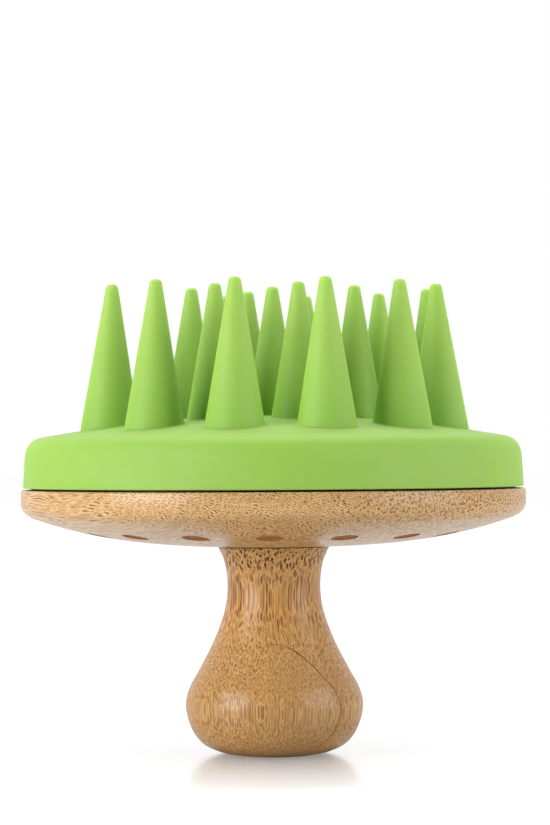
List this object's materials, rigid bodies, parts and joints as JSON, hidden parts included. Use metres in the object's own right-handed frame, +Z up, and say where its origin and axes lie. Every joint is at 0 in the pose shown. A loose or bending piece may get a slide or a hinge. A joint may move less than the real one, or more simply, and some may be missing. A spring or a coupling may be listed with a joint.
{
  "type": "scalp massager brush",
  "caption": "Round hand brush for massaging the scalp: a soft domed pad of tapered cones on a wooden disc, with a turned wooden knob for a handle.",
  "frame": {"origin": "centre of the knob's flat foot, on the surface the brush stands on, with the cones up", "axes": "+Z up along the turning axis from the foot to the cone tips; +X through a cone of each ring"},
  "size_m": [0.08, 0.08, 0.0741],
  "materials": {
    "silicone": "satin",
    "black_plastic": "matte",
    "bamboo_disc": "satin lacquer",
    "bamboo_knob": "satin lacquer",
    "zinc_steel": "zinc plated",
    "brass": "turned"
  },
  "bodies": {
    "handle": {"head_disc": "bamboo_disc", "knob": "bamboo_knob", "carrier_plate": "black_plastic", "knob_bolt": "zinc_steel", "bolt_washer": "zinc_steel", "threaded_insert": "brass", "plate_screw_1": "zinc_steel", "plate_screw_2": "zinc_steel", "plate_screw_3": "zinc_steel", "plate_screw_4": "zinc_steel"},
    "pad": {"bristle_pad": "silicone"}
  },
  "joints": [
    {"name": "pad_pull_off", "type": "slide", "parent": "handle", "child": "pad", "axis": [0, 0, 1], "range_m": [0, 0.025]}
  ]
}
